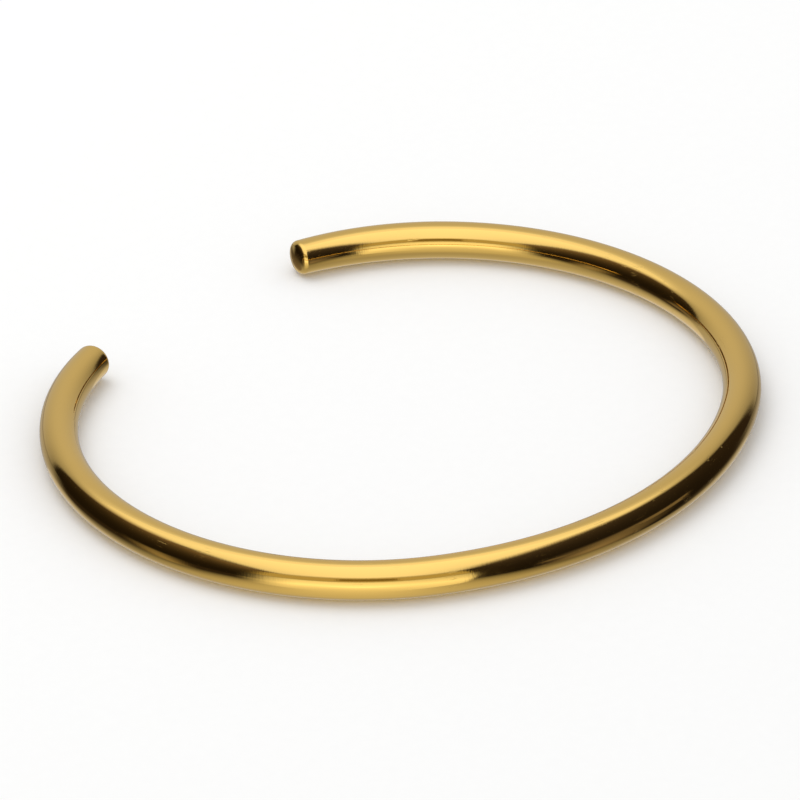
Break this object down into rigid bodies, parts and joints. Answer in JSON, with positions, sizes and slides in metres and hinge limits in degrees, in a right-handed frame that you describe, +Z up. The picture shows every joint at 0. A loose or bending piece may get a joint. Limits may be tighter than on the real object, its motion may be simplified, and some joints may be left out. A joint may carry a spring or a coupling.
{
  "type": "open bangle",
  "caption": "Open cuff bangle of polished gold wire bent to an oval, thinning to a domed tip on each side of the mouth, lying flat on its side.",
  "frame": {"origin": "on the resting surface, under the middle of the outline", "axes": "+X along the long way of the oval, from side to side; +Y from the back towards the mouth between the tips; +Z up, out of the wrist opening"},
  "size_m": [0.0668, 0.0564, 0.0034],
  "materials": {
    "gold": "mirror-polished yellow gold with fine wear scratches"
  },
  "bodies": {
    "root": {"bangle": "gold"}
  },
  "joints": []
}
